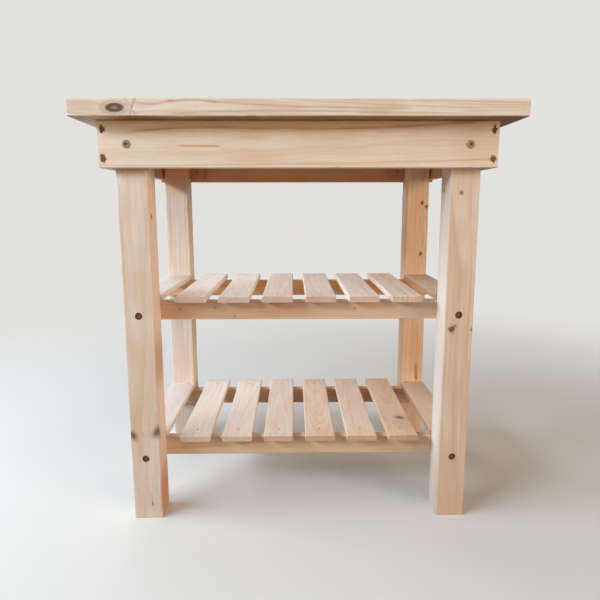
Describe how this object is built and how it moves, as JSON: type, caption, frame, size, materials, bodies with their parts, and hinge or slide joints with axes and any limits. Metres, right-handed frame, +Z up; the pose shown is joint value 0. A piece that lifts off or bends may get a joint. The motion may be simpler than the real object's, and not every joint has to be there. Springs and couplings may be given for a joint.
{
  "type": "potting bench",
  "caption": "Free-standing pine potting bench with a boarded worktop on an apron frame, square legs and slatted shelves for pots and tools.",
  "frame": {"origin": "on the floor under the middle of the worktop", "axes": "+X to the right along the width, +Y from the front to the back, +Z up"},
  "size_m": [0.9, 0.6, 0.92],
  "materials": {
    "pine_top": "planed pine, unfinished, pale cream with tan grain and knots",
    "pine_apron": "planed pine, unfinished, a little more golden than the top",
    "pine_leg": "planed pine, unfinished, straight grain with small dark knots",
    "pine_block": "sawn pine offcut, unfinished",
    "pine_rail": "planed pine, unfinished, golden",
    "pine_slat": "planed pine, unfinished, pale with arched grain",
    "nail_steel": "dull bright-steel wire nail",
    "screw_zinc": "yellow-passivated zinc plate, satin",
    "screw_dark": "dark passivated steel, dull",
    "bolt_yellow_zinc": "olive-yellow passivated zinc plate, satin, slightly dulled"
  },
  "bodies": {
    "root": {"top_board_1": "pine_top", "top_board_2": "pine_top", "top_board_3": "pine_top", "top_board_4": "pine_top", "top_board_5": "pine_top", "front_apron": "pine_apron", "back_apron": "pine_apron", "left_apron": "pine_apron", "right_apron": "pine_apron", "front_left_leg": "pine_leg", "front_right_leg": "pine_leg", "back_left_leg": "pine_leg", "back_right_leg": "pine_leg", "front_left_block": "pine_block", "front_right_block": "pine_block", "back_left_block": "pine_block", "back_right_block": "pine_block", "low_front_rail": "pine_rail", "low_back_rail": "pine_rail", "mid_front_rail": "pine_rail", "mid_back_rail": "pine_rail", "low_slat_1": "pine_slat", "low_slat_2": "pine_slat", "low_slat_3": "pine_slat", "low_slat_4": "pine_slat", "low_slat_5": "pine_slat", "low_slat_6": "pine_slat", "low_slat_7": "pine_slat", "low_slat_8": "pine_slat", "mid_slat_1": "pine_slat", "mid_slat_2": "pine_slat", "mid_slat_3": "pine_slat", "mid_slat_4": "pine_slat", "mid_slat_5": "pine_slat", "mid_slat_6": "pine_slat", "mid_slat_7": "pine_slat", "mid_slat_8": "pine_slat", "low_slat_nails": "nail_steel", "mid_slat_nails": "nail_steel", "top_screws": "screw_zinc", "apron_screws": "screw_dark", "apron_bolts": "bolt_yellow_zinc", "rail_screws": "screw_dark", "block_screws": "screw_zinc"}
  },
  "joints": []
}
